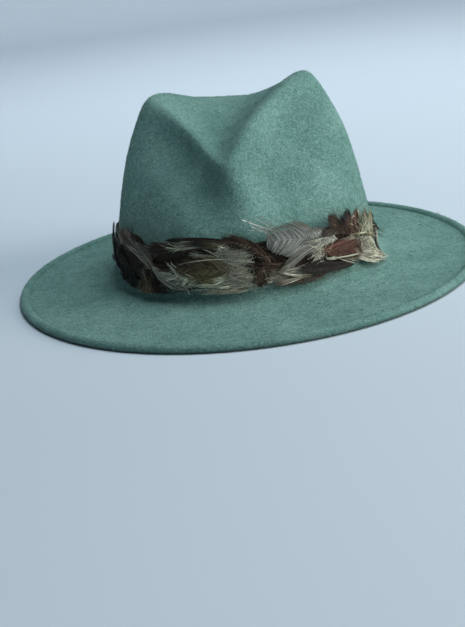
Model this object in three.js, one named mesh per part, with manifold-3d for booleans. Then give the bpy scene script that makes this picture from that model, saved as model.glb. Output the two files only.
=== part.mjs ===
import * as THREE from 'three';
import { mergeVertices } from 'three/addons/utils/BufferGeometryUtils.js';
import Module from 'manifold-3d';

// A felt fedora with a feather band, resting on its brim.
// Millimetres, +Z up, the front of the hat towards -Y. The origin is the middle of the
// brim's underside. Heights in the tables are measured up from the foot of the crown.

// Driving dimensions
const FELT_THICKNESS = 2.3;
const CROWN_HALF_WIDTH = 87.5;
const CROWN_HALF_LENGTH = 100.5;
const FOOT_HEIGHT = 9;
const FOOT_FILLET = 10;
const BRIM_WIDTH = 70;
const BRIM_DROP_POWER = 2;
const BRIM_EDGE_TOP = 2.8;
const WELT_WIDTH = 7;

// Facets: more of them at the front, where the crown is pinched
const FACETS_AROUND = 68;
const FRONT_CROWDING = 0.3;
const CROWN_RINGS = 20;
const FILLET_RINGS = 3;
const BRIM_RINGS = 3;

// How the crown's surface is found along a ray: first distance, stride and halvings
const SEARCH = { start: 20, stride: 2.5, halvings: 20 };

// Half width of the crown at each height, and how far it leans to the right there
const SIDE_PROFILE = [
  { height: -20, half: 87.5, lean: 0 },
  { height: 0, half: 87.5, lean: 0 },
  { height: 20, half: 86, lean: 0.1 },
  { height: 40, half: 82.8, lean: 0.3 },
  { height: 60, half: 78.5, lean: 0.9 },
  { height: 80, half: 72.6, lean: 1.6 },
  { height: 100, half: 64.6, lean: 2.3 },
  { height: 112, half: 58.6, lean: 2.7 },
  { height: 125, half: 51, lean: 3 },
  { height: 150, half: 31, lean: 3 },
];

// How much shorter the crown is at 100 mm up, as a share of its half length at the foot
const END_TAPER = { front: 0.2, back: 0.19, blend: 40 };

// The centre dent from front to back: the height of its floor, where its deepest line runs,
// how steeply its left and right slopes rise, and how round the ridges beside it are
const CENTRE_DENT = [
  { y: -105, floor: 62, middle: -2, left: 1, right: 1, round: 9 },
  { y: -80, floor: 74.8, middle: -6, left: 1.05, right: 1.05, round: 9 },
  { y: -50, floor: 83, middle: -9, left: 0.95, right: 0.97, round: 11.5 },
  { y: -25, floor: 88, middle: -7.5, left: 0.71, right: 0.79, round: 14 },
  { y: 0, floor: 92, middle: -3, left: 0.57, right: 0.69, round: 17 },
  { y: 30, floor: 96.5, middle: 4, left: 0.4, right: 0.54, round: 19.5 },
  { y: 60, floor: 99.5, middle: 9, left: 0.13, right: 0.32, round: 22 },
  { y: 85, floor: 98, middle: 10, left: 0.07, right: 0.09, round: 24 },
];
const DENT_BOTTOM_RADIUS = 8;
const DENT_SLOPE_BLEND = 8;
const DENT_STEEPNESS = 0.9;

// The pinch at the front, right and left: a slanted face, a crease under the ridge and a
// hollow beside the nose. Places are x, y and the height above the foot of the crown.
const PINCHES = [
  {
    face: { at: [19, -50, 86], out: [0.47, -0.6, 0.62], blend: 18 },
    crease: { at: [31, -50, 80], along: [-0.4, -0.8, -0.45], depth: 5, width: 15, half: 40 },
    hollow: { at: [26, -80, 60], depth: 5, radius: 20 },
  },
  {
    face: { at: [-30, -52, 85], out: [-0.64, -0.6, 0.44], blend: 7 },
    crease: { at: [-30, -62, 76], along: [0.46, -0.74, -0.5], depth: 17, width: 15, half: 50 },
    hollow: { at: [-14, -84, 58], depth: 2, radius: 19 },
  },
];
const HOLLOW_STRETCH = 0.55;

// The welted edge in section: distance out from the inner side of the welt, and height above
// the surface that the brim rests on. The last two rows are the flat land that it rests on.
const WELT_SECTION = [
  { out: 0.6, up: 2.95 },
  { out: 1.3, up: 4.1 },
  { out: 2.6, up: 4.95 },
  { out: 4, up: 5.15 },
  { out: 5.5, up: 4.7 },
  { out: 6.6, up: 3.7 },
  { out: 7, up: 2.4 },
  { out: 6.7, up: 1.1 },
  { out: 5.8, up: 0 },
  { out: 1.4, up: 0 },
];

// The feather band: its backing strip, whose top is lower at the right and the back than at
// the front, and the blades of the feathers on it. Plan angles are in degrees, -90 at the front
// and 0 at the right.
const BACKING = { bottom: 9, clearance: 0.75, thickness: 1.4 };
const BACKING_TOP = [
  { angle: -180, top: 31 },
  { angle: -150, top: 31 },
  { angle: -90, top: 33 },
  { angle: -45, top: 31 },
  { angle: -25, top: 23 },
  { angle: -5, top: 15 },
  { angle: 30, top: 15 },
  { angle: 100, top: 18 },
  { angle: 150, top: 28 },
  { angle: 180, top: 31 },
];
const BLADE = {
  stations: 4,
  vane: 0.9,
  underside: 0.5,
  seat: 1.8,
  fullestTowardsTip: 0.8,
  bluntness: 0.6,
  liftCurve: 1.5,
};

// Feathers at the front. Each starts at a plan angle and a height. Its heading is 0 along the
// band to the right and 90 upwards, and turns by bend on the way to the tip. Tips stand lift
// off the backing.
const FRONT_FEATHERS = [
  { angle: -144, height: 5.5, heading: 195, bend: -160, length: 59, width: 9, lift: 4.5 },
  { angle: -128, height: 22, heading: 147, bend: 17, length: 38, width: 15, lift: 2.5 },
  { angle: -129, height: 23, heading: 133, bend: 6, length: 22, width: 12, lift: 3 },
  { angle: -146, height: 17, heading: -86, bend: 30, length: 15, width: 11, lift: 2.5 },
  { angle: -134.5, height: 18, heading: -93, bend: 18, length: 13, width: 11, lift: 2.5 },
  { angle: -129, height: 22, heading: -50, bend: 70, length: 36, width: 10, lift: 4 },
  { angle: -112, height: 31, heading: 171, bend: 17, length: 28, width: 15, lift: 2.5 },
  { angle: -95, height: 33, heading: 165, bend: 21, length: 31, width: 10, lift: 3 },
  { angle: -87, height: 15.5, heading: 165, bend: 14, length: 46, width: 20, lift: 3 },
  { angle: -80, height: 22, heading: 105, bend: 60, length: 29, width: 12, lift: 3.5 },
  { angle: -56, height: 24, heading: 153, bend: 28, length: 41, width: 21, lift: 3.5 },
  { angle: -60, height: 25, heading: 191, bend: 22, length: 28, width: 7, lift: 4 },
  { angle: -57, height: 21.5, heading: -13, bend: 1, length: 37, width: 11, lift: 4 },
  { angle: -36.5, height: 20, heading: 122, bend: 0, length: 26, width: 14, lift: 3.5 },
  { angle: -28, height: 16, heading: 87, bend: 40, length: 23, width: 14, lift: 3.5 },
  { angle: -44, height: 26, heading: 132, bend: 6, length: 20, width: 13, lift: 3 },
  { angle: -10, height: 20, heading: 218, bend: 0, length: 33, width: 7, lift: 3.5 },
  { angle: -41, height: 6, heading: 174, bend: -9, length: 45, width: 10, lift: 3.5 },
  { angle: -43, height: 12, heading: -22, bend: 0, length: 25, width: 11, lift: 4 },
  { angle: -82, height: 19.5, heading: -109, bend: 4, length: 12, width: 14, lift: 2.5 },
  { angle: -79, height: 15.5, heading: -19, bend: 22, length: 27, width: 11, lift: 2.5 },
];

// Rows of like feathers that go on round the sides and the back, each feather at a share of
// the height of the backing's top
const FEATHER_ROWS = [
  { first: -6, last: 196, count: 13, rise: 0.8, heading: 168, length: 26, width: 11, lift: 2.5 },
  { first: 2, last: 204, count: 13, rise: 0.42, heading: 186, length: 26, width: 11, lift: 2.5 },
];
const ROW_SWING = 7;
const ROW_SWING_STEP = 2.4;

const felt = new THREE.MeshStandardMaterial({ color: 0x66908a, roughness: 0.95, metalness: 0 });
const plumage = new THREE.MeshStandardMaterial({ color: 0x5b4a3f, roughness: 0.8, metalness: 0 });

// Slope of a table's column at row i, from the rows on both sides of it
function slopeAt(rows, key, column, i) {
  const here = rows[i];
  const before = rows[Math.max(i - 1, 0)];
  const after = rows[Math.min(i + 1, rows.length - 1)];
  const back = here[key] - before[key];
  const ahead = after[key] - here[key];
  const rise = ahead ? (after[column] - here[column]) / ahead : 0;
  const fall = back ? (here[column] - before[column]) / back : 0;
  return (rise * back + fall * ahead) / (back + ahead) + (back ? 0 : rise) + (ahead ? 0 : fall);
}

// The value of a table's column where its key column is at, on a smooth curve through the rows
function smooth(rows, key, column, at) {
  const last = rows.length - 1;
  const place = THREE.MathUtils.clamp(at, rows[0][key], rows[last][key]);
  const found = rows.findIndex((row) => row[key] >= place);
  const i = Math.max(found, 1) - 1;
  const span = rows[i + 1][key] - rows[i][key];
  const t = (place - rows[i][key]) / span;
  const start = slopeAt(rows, key, column, i) * span;
  const end = slopeAt(rows, key, column, i + 1) * span;
  const a = rows[i][column];
  const b = rows[i + 1][column];
  return a + t * start + t * t * (3 * (b - a) - 2 * start - end)
    + t * t * t * (2 * (a - b) + start + end);
}

// The larger of two values, with a soft corner of the given size between them
function softMax(a, b, size) {
  const near = Math.max(size - Math.abs(a - b), 0) / size;
  return Math.max(a, b) + (near ** 3 * size) / 6;
}

// Half length of the crown at a height, for the front and the back together
function halfLength(height, y) {
  const back = 0.5 + 0.5 * Math.tanh(y / END_TAPER.blend);
  const taper = END_TAPER.front * (1 - back) + END_TAPER.back * back;
  return CROWN_HALF_LENGTH * (1 - taper * (height / 100) ** 2);
}

// Millimetres outside the crown's side walls, with the pinch at the front taken out of them
function outsideWalls(point) {
  const x = point.x - smooth(SIDE_PROFILE, 'height', 'lean', point.z);
  const reach = Math.hypot(x / smooth(SIDE_PROFILE, 'height', 'half', point.z),
    point.y / halfLength(point.z, point.y));
  let outside = Math.hypot(x, point.y) * (1 - 1 / Math.max(reach, 1e-6));
  const place = new THREE.Vector3(x, point.y, point.z);
  for (const { face, crease, hollow } of PINCHES) {
    const normal = new THREE.Vector3(...face.out).normalize();
    const fromFace = place.clone().sub(new THREE.Vector3(...face.at));
    outside = softMax(outside, fromFace.dot(normal), face.blend);
    const line = new THREE.Vector3(...crease.along).normalize();
    const fromCrease = place.clone().sub(new THREE.Vector3(...crease.at));
    const run = fromCrease.dot(line);
    const aside = fromCrease.lengthSq() - run * run;
    outside += crease.depth * Math.exp(-aside / crease.width ** 2 - (run / crease.half) ** 4);
    const [hx, hy, hz] = hollow.at;
    const away = (x - hx) ** 2 + (point.y - hy) ** 2 + HOLLOW_STRETCH * (point.z - hz) ** 2;
    outside += hollow.depth * Math.exp(-away / hollow.radius ** 2);
  }
  return outside;
}

// Millimetres above the crown's dented top
function aboveTop(point) {
  const aside = point.x - smooth(CENTRE_DENT, 'y', 'middle', point.y);
  const right = 0.5 + 0.5 * Math.tanh(aside / DENT_SLOPE_BLEND);
  const slope = smooth(CENTRE_DENT, 'y', 'left', point.y) * (1 - right)
    + smooth(CENTRE_DENT, 'y', 'right', point.y) * right;
  const rise = Math.hypot(aside, DENT_BOTTOM_RADIUS) - DENT_BOTTOM_RADIUS;
  return point.z - smooth(CENTRE_DENT, 'y', 'floor', point.y) - slope * rise;
}

function outsideCrown(point) {
  const ridge = smooth(CENTRE_DENT, 'y', 'round', point.y);
  return softMax(outsideWalls(point), DENT_STEEPNESS * aboveTop(point), ridge);
}

// Plan angle of facet i, with the front at -90 degrees and narrower facets there
function planAngle(i) {
  const turn = (2 * Math.PI * i) / FACETS_AROUND;
  return turn - Math.PI / 2 - FRONT_CROWDING * Math.sin(turn);
}

// The crown's surface on the ray that leaves the centre of its foot at an elevation
function crownPoint(angle, elevation) {
  const plan = new THREE.Vector2(CROWN_HALF_WIDTH * Math.cos(angle),
    CROWN_HALF_LENGTH * Math.sin(angle)).normalize();
  const ray = new THREE.Vector3(plan.x * Math.cos(elevation), plan.y * Math.cos(elevation),
    Math.sin(elevation));
  let far = SEARCH.start;
  while (outsideCrown(ray.clone().multiplyScalar(far)) <= 0) far += SEARCH.stride;
  let near = far - SEARCH.stride;
  for (let halving = 0; halving < SEARCH.halvings; halving += 1) {
    const middle = (near + far) / 2;
    const outside = outsideCrown(ray.clone().multiplyScalar(middle)) > 0;
    near = outside ? near : middle;
    far = outside ? middle : far;
  }
  return ray.multiplyScalar(near).add(new THREE.Vector3(0, 0, FOOT_HEIGHT));
}

// A point beside the oval that the crown's wall stands on at a height
function besideOval(angle, height, out) {
  const half = smooth(SIDE_PROFILE, 'height', 'half', height);
  const length = halfLength(height, 0);
  const away = new THREE.Vector2(Math.cos(angle) / half, Math.sin(angle) / length).normalize();
  return new THREE.Vector3(half * Math.cos(angle) + away.x * out,
    length * Math.sin(angle) + away.y * out, FOOT_HEIGHT + height);
}

// Height of the brim's top face at a distance out from the crown's wall
function brimTop(out) {
  const share = Math.max(1 - out / BRIM_WIDTH, 0);
  return BRIM_EDGE_TOP + (FOOT_HEIGHT - BRIM_EDGE_TOP) * share ** BRIM_DROP_POWER;
}

function ring(makePoint) {
  return Array.from({ length: FACETS_AROUND }, (_, i) => makePoint(planAngle(i)));
}

// A ring beside the crown's wall where the fillet starts, set to a height above the surface
function ringBeside(out, up) {
  return ring((angle) => besideOval(angle, FOOT_FILLET, out).setZ(up));
}

// The crown's surface at a plan angle, and a level that goes up to CROWN_RINGS at its middle
function crownAt(angle, level) {
  const wall = besideOval(angle, FOOT_FILLET, 0);
  const lowest = Math.atan2(FOOT_FILLET, Math.hypot(wall.x, wall.y));
  return crownPoint(angle, lowest + ((Math.PI / 2 - lowest) * level) / CROWN_RINGS);
}

// Rings of the felt's upper face, from the first one round the middle of the top to the welt
function upperRings() {
  const rings = [];
  for (let k = CROWN_RINGS - 1; k > 0; k -= 1) {
    rings.push(ring((angle) => crownAt(angle, k)));
  }
  for (let k = 0; k <= FILLET_RINGS; k += 1) {
    const turn = (Math.PI / 2) * (k / FILLET_RINGS);
    const out = FOOT_FILLET * (1 - Math.cos(turn));
    rings.push(ringBeside(out, brimTop(out) + FOOT_FILLET * (1 - Math.sin(turn))));
  }
  const welt = BRIM_WIDTH - WELT_WIDTH;
  for (let k = 1; k <= BRIM_RINGS; k += 1) {
    const out = FOOT_FILLET + ((welt - FOOT_FILLET) * k) / BRIM_RINGS;
    rings.push(ringBeside(out, brimTop(out)));
  }
  return rings;
}

// Whether the quad below ring k of the crown is closer to its surface when it is split from its
// lower left corner to its upper right one
function splitsUpwards(rings, k, i) {
  if (k >= CROWN_RINGS - 2) return false;
  const next = (i + 1) % FACETS_AROUND;
  const middle = crownAt(planAngle(i + 0.5), CROWN_RINGS - 1.5 - k);
  const down = rings[k][i].clone().lerp(rings[k + 1][next], 0.5);
  const up = rings[k + 1][i].clone().lerp(rings[k][next], 0.5);
  return up.distanceTo(middle) < down.distanceTo(middle);
}

// A mesh from points and triples of their numbers
function meshOf(points, triangles) {
  const geometry = new THREE.BufferGeometry();
  const flat = points.flatMap((point) => point.toArray());
  geometry.setAttribute('position', new THREE.Float32BufferAttribute(flat, 3));
  geometry.setIndex(triangles.flat());
  geometry.computeVertexNormals();
  return geometry;
}

// Triangles that join each ring to the next one, all rings of the same count. The quads that
// splitsUp names by their ring and place are split along their other diagonal.
function stripTriangles(rings, count, closed, splitsUp = () => false) {
  const triangles = [];
  const last = closed ? rings : rings - 1;
  for (let k = 0; k < last; k += 1) {
    const below = (k + 1) % rings;
    for (let i = 0; i < count; i += 1) {
      const next = (i + 1) % count;
      const upper = [k * count + i, k * count + next];
      const lower = [below * count + i, below * count + next];
      if (splitsUp(k, i)) {
        triangles.push([upper[0], lower[0], upper[1]], [lower[0], lower[1], upper[1]]);
      } else {
        triangles.push([upper[0], lower[0], lower[1]], [upper[0], lower[1], upper[1]]);
      }
    }
  }
  return triangles;
}

// Triangles of a fan from a middle point to a ring that starts at point number start
function fanTriangles(middle, start, count, outward) {
  return Array.from({ length: count }, (_, i) => {
    const pair = [start + i, start + ((i + 1) % count)];
    return outward ? [middle, ...pair] : [middle, ...pair.reverse()];
  });
}

// The felt body: crown, brim and welted edge in one wall of felt, open below
function feltBody() {
  const upper = upperRings();
  const splits = upper.map((_, k) => Array.from({ length: FACETS_AROUND },
    (ignored, i) => splitsUpwards(upper, k, i)));
  const peak = crownPoint(0, Math.PI / 2);
  const sheetPoints = [...upper.flat(), peak];
  const sheetTriangles = [
    ...stripTriangles(upper.length, FACETS_AROUND, false, (k, i) => splits[k][i]),
    ...fanTriangles(sheetPoints.length - 1, 0, FACETS_AROUND, true),
  ];
  const normals = meshOf(sheetPoints, sheetTriangles).getAttribute('normal');
  const under = sheetPoints.map((point, i) => point.clone()
    .addScaledVector(new THREE.Vector3().fromBufferAttribute(normals, i), -FELT_THICKNESS));
  const underPeak = under.pop();
  const lower = upper.map((_, k) => under.slice(k * FACETS_AROUND, (k + 1) * FACETS_AROUND));
  const weltStart = BRIM_WIDTH - WELT_WIDTH;
  const welt = WELT_SECTION.map((row) => ringBeside(weltStart + row.out, row.up));
  const rings = [...upper, ...welt, ...lower.reverse()];
  const points = [...rings.flat(), peak, underPeak];
  const top = points.length - 2;
  const lastRing = (rings.length - 1) * FACETS_AROUND;
  const underside = rings.length - 2;
  const splitsUp = (k, i) => (splits[k] ? splits[k][i] : !splits[underside - k]?.[i]);
  const triangles = [
    ...stripTriangles(rings.length, FACETS_AROUND, false, splitsUp),
    ...fanTriangles(top, 0, FACETS_AROUND, true),
    ...fanTriangles(top + 1, lastRing, FACETS_AROUND, false),
  ];
  return meshOf(points, triangles);
}

// How far the fillet at the crown's foot stands out from its wall at a height
function filletReach(height) {
  const drop = Math.max(FOOT_FILLET - height, 0);
  return FOOT_FILLET - Math.sqrt(Math.max(FOOT_FILLET ** 2 - drop ** 2, 0));
}

// Height of the backing's top at a plan angle in radians
function backingTop(angle) {
  const degrees = THREE.MathUtils.euclideanModulo(THREE.MathUtils.radToDeg(angle) + 180, 360) - 180;
  return smooth(BACKING_TOP, 'angle', 'top', degrees);
}

// A point over the felt at the band: plan angle, height, and distance out from the felt
function bandPoint(angle, height, out) {
  return besideOval(angle, height, out + filletReach(height));
}

function backingStrip() {
  const inside = BACKING.clearance;
  const outside = inside + BACKING.thickness;
  const rings = [
    ring((angle) => bandPoint(angle, BACKING.bottom, inside)),
    ring((angle) => bandPoint(angle, backingTop(angle), inside)),
    ring((angle) => bandPoint(angle, backingTop(angle), outside)),
    ring((angle) => bandPoint(angle, BACKING.bottom, outside)),
  ];
  return meshOf(rings.flat(), stripTriangles(rings.length, FACETS_AROUND, true));
}

// Distance along the band for one radian of plan angle
function bandPace(angle) {
  return Math.hypot(CROWN_HALF_WIDTH * Math.sin(angle), CROWN_HALF_LENGTH * Math.cos(angle));
}

// Width of a blade along its length as a share of its full width
function vaneShape(share) {
  return Math.sin(Math.PI * share ** BLADE.fullestTowardsTip) ** BLADE.bluntness;
}

// One feather's blade: four-sided sections along its shaft, drawn to a point at both ends
function bladeOf(feather) {
  const sections = [];
  const step = feather.length / (BLADE.stations + 1);
  let angle = THREE.MathUtils.degToRad(feather.angle);
  let height = feather.height;
  for (let k = 0; k <= BLADE.stations + 1; k += 1) {
    const share = k / (BLADE.stations + 1);
    const heading = THREE.MathUtils.degToRad(feather.heading + feather.bend * share);
    const half = (feather.width / 2) * vaneShape(share);
    const out = BLADE.seat + feather.lift * share ** BLADE.liftCurve;
    const place = (aside, away) => bandPoint(
      angle - (Math.sin(heading) * aside) / bandPace(angle),
      height + Math.cos(heading) * aside,
      out + away,
    );
    const tip = k === 0 || k > BLADE.stations;
    sections.push(tip ? [place(0, 0)]
      : [place(-half, 0), place(0, BLADE.vane), place(half, 0), place(0, -BLADE.underside)]);
    angle += (Math.cos(heading) * step) / bandPace(angle);
    height += Math.sin(heading) * step;
  }
  const body = sections.slice(1, -1);
  const points = [...body.flat(), ...sections[0], ...sections.at(-1)];
  const root = points.length - 2;
  const lastRing = (body.length - 1) * 4;
  const triangles = [
    ...stripTriangles(body.length, 4, false),
    ...fanTriangles(root, 0, 4, true),
    ...fanTriangles(root + 1, lastRing, 4, false),
  ];
  return meshOf(points, triangles);
}

function rowFeathers(row) {
  return Array.from({ length: row.count }, (_, i) => {
    const angle = row.first + ((row.last - row.first) * i) / (row.count - 1);
    return {
      ...row,
      angle,
      height: row.rise * backingTop(THREE.MathUtils.degToRad(angle)),
      heading: row.heading + ROW_SWING * Math.sin(ROW_SWING_STEP * (i + row.rise)),
      bend: -ROW_SWING * Math.cos(ROW_SWING_STEP * i),
    };
  });
}

const wasm = await Module();
wasm.setup();

function toSolid(geometry) {
  const bare = geometry.clone();
  bare.deleteAttribute('normal');
  const merged = mergeVertices(bare, 1e-4);
  return new wasm.Manifold(new wasm.Mesh({
    numProp: 3,
    vertProperties: new Float32Array(merged.getAttribute('position').array),
    triVerts: new Uint32Array(merged.getIndex().array),
  }));
}

function fromSolid(solid) {
  const { vertProperties, triVerts } = solid.getMesh();
  const geometry = new THREE.BufferGeometry();
  geometry.setAttribute('position', new THREE.Float32BufferAttribute(vertProperties, 3));
  geometry.setIndex(Array.from(triVerts));
  return geometry;
}

// The feather band: the backing strip with every blade fused to it. Only the outer shell is
// kept, so that no sealed pocket stays between blades that lie across each other.
function featherBand() {
  const feathers = [...FRONT_FEATHERS, ...FEATHER_ROWS.flatMap(rowFeathers)];
  const fused = feathers.reduce((solid, feather) => solid.add(toSolid(bladeOf(feather))),
    toSolid(backingStrip()));
  const shells = fused.decompose();
  return fromSolid(shells.reduce((a, b) => (a.volume() > b.volume() ? a : b)));
}

const fedora = new THREE.Group();

const body = new THREE.Mesh(feltBody(), felt);
body.name = 'felt_body';
fedora.add(body);

const band = new THREE.Mesh(featherBand(), plumage);
band.name = 'feather_band';
fedora.add(band);

export default fedora;
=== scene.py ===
"""A green felt fedora with a band of short feathers, dressed for rendering.

It is laid out as a Blender add-on: settings, an operator for each piece, and a panel.
Tables and shape formulas are in millimetres, as in the part's source, and the meshes in metres.
"""

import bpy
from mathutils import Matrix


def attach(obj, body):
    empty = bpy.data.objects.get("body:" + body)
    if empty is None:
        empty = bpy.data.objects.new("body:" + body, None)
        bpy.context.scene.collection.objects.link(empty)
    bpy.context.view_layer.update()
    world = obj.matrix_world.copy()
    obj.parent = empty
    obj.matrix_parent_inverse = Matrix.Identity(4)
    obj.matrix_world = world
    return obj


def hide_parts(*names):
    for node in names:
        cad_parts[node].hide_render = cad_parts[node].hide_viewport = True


bl_info = {
    "name": "Felt fedora",
    "version": (1, 0, 0),
    "blender": (4, 5, 0),
    "location": "View3D > Sidebar > Fedora",
    "description": "Builds a felt fedora with a feather band, and the studio round it",
    "category": "Object",
}

import math
from collections import namedtuple

import bpy
import numpy as np
from mathutils import Matrix, Vector

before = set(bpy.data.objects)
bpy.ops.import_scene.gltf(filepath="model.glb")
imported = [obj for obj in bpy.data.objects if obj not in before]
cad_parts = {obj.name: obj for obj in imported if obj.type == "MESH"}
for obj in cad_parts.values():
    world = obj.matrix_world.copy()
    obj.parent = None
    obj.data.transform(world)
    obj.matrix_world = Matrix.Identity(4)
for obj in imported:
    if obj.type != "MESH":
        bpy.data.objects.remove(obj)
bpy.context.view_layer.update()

MM = 0.001


def table(row, text):
    """Rows of numbers that end in a name, one to a line."""
    lines = (line.split() for line in text.strip().splitlines())
    return tuple(row(*map(float, numbers), name) for *numbers, name in lines)


# Driving dimensions of the hat
FELT_THICKNESS = 2.3
CROWN_HALF_WIDTH = 87.5
CROWN_HALF_LENGTH = 100.5
FOOT_HEIGHT = 9
FOOT_FILLET = 10
BRIM_WIDTH = 70
BRIM_DROP_POWER = 2
BRIM_EDGE_TOP = 2.8
WELT_WIDTH = 7

# Height above the crown's foot, half width there, and lean to the right
SIDE_PROFILE = np.array([
    (-20, 87.5, 0), (0, 87.5, 0), (20, 86, 0.1), (40, 82.8, 0.3), (60, 78.5, 0.9),
    (80, 72.6, 1.6), (100, 64.6, 2.3), (112, 58.6, 2.7), (125, 51, 3), (150, 31, 3),
])
FRONT_TAPER, BACK_TAPER, TAPER_BLEND = 0.2, 0.19, 40

# The centre dent: y, floor height, deepest line, left slope, right slope, roundness of the ridges
CENTRE_DENT = np.array([
    (-105, 62, -2, 1, 1, 9), (-80, 74.8, -6, 1.05, 1.05, 9), (-50, 83, -9, 0.95, 0.97, 11.5),
    (-25, 88, -7.5, 0.71, 0.79, 14), (0, 92, -3, 0.57, 0.69, 17), (30, 96.5, 4, 0.4, 0.54, 19.5),
    (60, 99.5, 9, 0.13, 0.32, 22), (85, 98, 10, 0.07, 0.09, 24),
])
DENT_BOTTOM_RADIUS, DENT_SLOPE_BLEND, DENT_STEEPNESS = 8, 8, 0.9

# The pinch at the front, right and left: a slanted face, a crease and a hollow
Pinch = namedtuple(
    "Pinch",
    "face_at face_out face_blend crease_at along depth width half hollow_at hollow_depth radius")
PINCHES = (
    Pinch((19, -50, 86), (0.47, -0.6, 0.62), 18,
          (31, -50, 80), (-0.4, -0.8, -0.45), 5, 15, 40, (26, -80, 60), 5, 20),
    Pinch((-30, -52, 85), (-0.64, -0.6, 0.44), 7,
          (-30, -62, 76), (0.46, -0.74, -0.5), 17, 15, 50, (-14, -84, 58), 2, 19),
)
HOLLOW_STRETCH = 0.55

# The welted edge in section: distance out from its inner side, and height above the floor
WELT_SECTION = np.array([
    (0, 2.8), (0.35, 2.62), (0.75, 3.2), (1.3, 4.1), (2.6, 4.95), (4, 5.15), (5.5, 4.7),
    (6.6, 3.7), (7, 2.4), (6.75, 1.1), (6.1, 0.3), (5.4, 0), (1.8, 0),
])

BACKING_BOTTOM, BACKING_CLEARANCE, BACKING_THICKNESS = 9, 0.75, 1.4
BACKING_FACE = BACKING_CLEARANCE + BACKING_THICKNESS

# Height of the backing's top at each plan angle, -90 degrees at the front and 0 at the right
BACKING_TOP = np.array([
    (-180, 31), (-150, 31), (-90, 33), (-45, 31), (-25, 23), (-5, 15), (30, 15), (100, 18),
    (150, 28), (180, 31),
])
# The line that barbs hardly hang below: plan angle and height
BAND_FOOT = np.array([
    (-180, 6), (-165, 11), (-152, 9.5), (-145, 6.5), (-138, 4.5), (-116, 5), (-95, 5),
    (-76, 4.5), (-56, 3), (-33, 0.6), (0, 0.6), (90, 1), (180, 6),
])
FOOT_SOFTNESS = 1.4

# A feather's look: colours along it from root to tip, and across it from its right edge to its
# left one with their share, each as place, name and strength; bars; how loose its barbs are and
# how far they sweep forward; how blunt its tip is and how far its shaft lies to the right; the
# down at its root; and the share of cream in its shaft
Look = namedtuple(
    "Look",
    "along across share bars bar bar_share loose sweep blunt skew down down_colour quill_share",
    defaults=("", 0, 0, "umber", 0, 0.5, 0.6, 0.6, 0, 0.5, "smoke", 0))
LOOKS = {
    "slate": Look("0 slate 1.3, 1 slate 0.8", loose=0.2, down=0.1),
    "smoke": Look("0 tan 1.5, 0.25 smoke 2, 0.75 smoke 2.2, 1 umber 2.4", loose=0.9, sweep=0.8),
    "umber": Look("0 umber 1, 0.8 umber 0.8, 1 slate 1.4",
                  "0 slate 1, 0.4 umber 1, 1 smoke 0.5",
                  share=0.4, loose=0.7, sweep=0.85, down=0.1),
    "russet": Look("0 rust 0.8, 0.5 umber 1.5, 1 umber 0.8", loose=0.8, sweep=0.7, down=0.3),
    "tan": Look("0 tan 0.6, 0.7 tan 0.8, 1 tan 1.1",
                bars=3, bar_share=0.5, loose=0.8, sweep=0.9, blunt=0.3),
    "reed": Look("0 smoke 1.6, 0.4 smoke 1.6, 0.8 smoke 1.6, 1 cream 0.9",
                 "0 smoke 1, 0.5 smoke 1.8, 0.8 cream 1, 1 cream 1",
                 share=0.6, loose=0.9, sweep=0.45, skew=0.35, down=0.2, quill_share=0.4),
    "ink": Look("0 cream 0.6, 0.25 olive 2, 0.4 olive 1.4, 0.52 umber 1.2, 0.7 slate 1, "
                "1 cream 0.5",
                "0 slate 1, 0.6 slate 1, 0.85 cream 0.8, 1 cream 1",
                share=0.4, loose=1, sweep=0.9, down=0.4),
    "bronze": Look("0 smoke 3, 0.25 smoke 2.4, 0.5 olive 1.8, 0.8 umber 2.4, 1 umber 1.6",
                   "0 cream 1, 0.07 cream 1, 0.14 umber 2.6, 0.5 umber 2.4, 0.65 olive 1.9, "
                   "1 olive 1.7",
                   share=0.65, bars=40, bar_share=0.2, loose=0.6, sweep=0.55, blunt=0.5, down=0.9,
                   down_colour="cream"),
    "mauve": Look("0 mauve 1.1, 0.85 mauve 1, 1 tan 1",
                  "0 umber 1.4, 0.14 umber 1.7, 0.3 mauve 1, 0.85 mauve 1, 1 cream 0.7",
                  share=0.7, bars=46, bar="cream", bar_share=0.1, loose=0.1, sweep=0.5, blunt=0.37,
                  down_colour="cream"),
    "ash": Look("0 mauve 0.9, 1 smoke 1", loose=0.3, sweep=0.6, quill_share=0.5),
    "rust": Look("0 cream 0.7, 0.15 rust 0.7, 0.85 rust 0.8, 1 cream 0.9",
                 "0 cream 1, 0.15 rust 0.7, 0.85 rust 0.8, 1 cream 1",
                 share=0.7, loose=0.5, sweep=0.7, blunt=0.2, down=0.8, down_colour="cream"),
    "ember": Look("0 rust 0.8, 0.65 rust 0.8, 0.85 slate 1.5, 1 slate 1",
                  loose=0.6, sweep=0.8, blunt=0.35),
    "straw": Look("0 olive 1, 0.35 olive 1.8, 0.7 cream 0.7, 1 olive 1.3",
                  loose=1, sweep=0.75, blunt=0.45, down=0.3),
    "plum": Look("0 plum 0.6, 1 plum 0.4",
                 "0 smoke 0.4, 0.25 plum 0.4, 0.75 umber 0.4, 1 slate 0.8",
                 share=0.8, loose=0.5, sweep=0.75, blunt=0.5, down=0.1),
    "pale": Look("0 smoke 2, 0.5 smoke 2.3, 1 cream 0.85",
                 loose=0.9, sweep=0.7, down=0.6, down_colour="cream"),
    "wisp": Look("0 mauve 2.2, 1 mauve 2.4", loose=0.3, sweep=0.95),
    "cream": Look("0 cream 0.8, 1 cream 1", loose=0.4, sweep=0.8, down=0.3, down_colour="cream"),
}

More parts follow.
